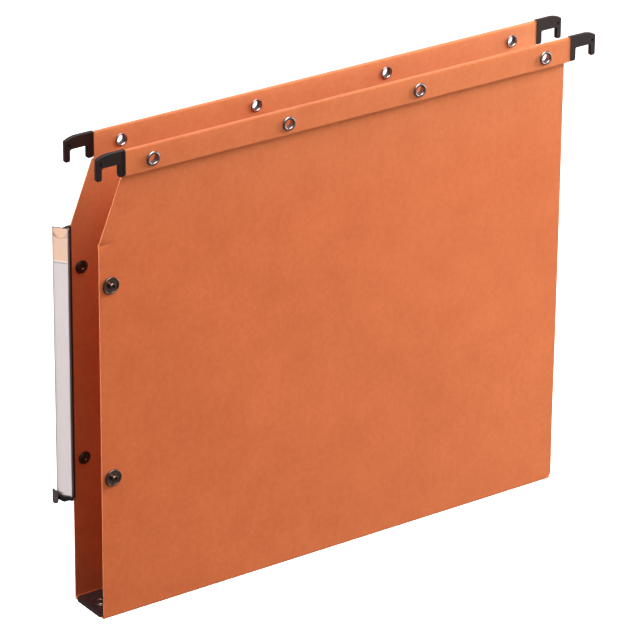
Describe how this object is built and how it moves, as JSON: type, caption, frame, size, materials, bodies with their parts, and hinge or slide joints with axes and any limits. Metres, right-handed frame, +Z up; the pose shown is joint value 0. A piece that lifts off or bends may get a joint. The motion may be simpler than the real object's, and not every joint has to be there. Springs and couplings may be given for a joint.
{
  "type": "hanging file folder",
  "caption": "Orange card suspension folder with a stiffened box bottom, hooked steel rails in its hems, press fasteners for linking folders and a clear label holder on its edge.",
  "frame": {"origin": "midway between the four hook throats, level with the seats that rest on the cabinet rails", "axes": "+X along the folder's rails, +Y from the front panel to the rear panel, +Z up"},
  "size_m": [0.3582, 0.0398, 0.2903],
  "materials": {
    "card": "matt kraft card, dyed through",
    "plate_plastic": "glossy black",
    "eyelet_nickel": "dark nickel plated",
    "holder_plastic": "satin black",
    "lens_plastic": "clear",
    "label_paper": "matt paper with a tinted header",
    "rail_steel": "plain steel strip",
    "hook_plastic": "satin black",
    "fastener_gunmetal": "gunmetal plated"
  },
  "bodies": {
    "rear_side": {"rear_panel": "card", "rear_rail": "rail_steel", "rear_left_hook": "hook_plastic", "rear_right_hook": "hook_plastic", "rear_rail_eyelets": "eyelet_nickel", "rear_upper_socket": "fastener_gunmetal", "rear_lower_socket": "fastener_gunmetal", "rear_upper_socket_post": "fastener_gunmetal", "rear_lower_socket_post": "fastener_gunmetal", "label_strip": "holder_plastic", "label_lens": "lens_plastic", "label_end": "holder_plastic"},
    "base": {"base_card": "card", "base_plate": "plate_plastic", "base_eyelets": "eyelet_nickel"},
    "front_side": {"front_panel": "card", "front_rail": "rail_steel", "front_left_hook": "hook_plastic", "front_right_hook": "hook_plastic", "front_rail_eyelets": "eyelet_nickel", "front_upper_stud": "fastener_gunmetal", "front_lower_stud": "fastener_gunmetal", "front_upper_stud_post": "fastener_gunmetal", "front_lower_stud_post": "fastener_gunmetal"},
    "label": {"label_paper": "label_paper"}
  },
  "joints": [
    {"name": "rear_fold", "type": "hinge", "parent": "rear_side", "child": "base", "pos_m": [0, 0.0153, -0.2817], "axis": [1, 0, 0], "range_deg": [0, 90]},
    {"name": "front_fold", "type": "hinge", "parent": "base", "child": "front_side", "pos_m": [0, -0.0153, -0.2817], "axis": [1, 0, 0], "range_deg": [-5, 90]},
    {"name": "label_slide", "type": "slide", "parent": "rear_side", "child": "label", "axis": [0, 0, 1], "range_m": [0, 0.15]}
  ]
}
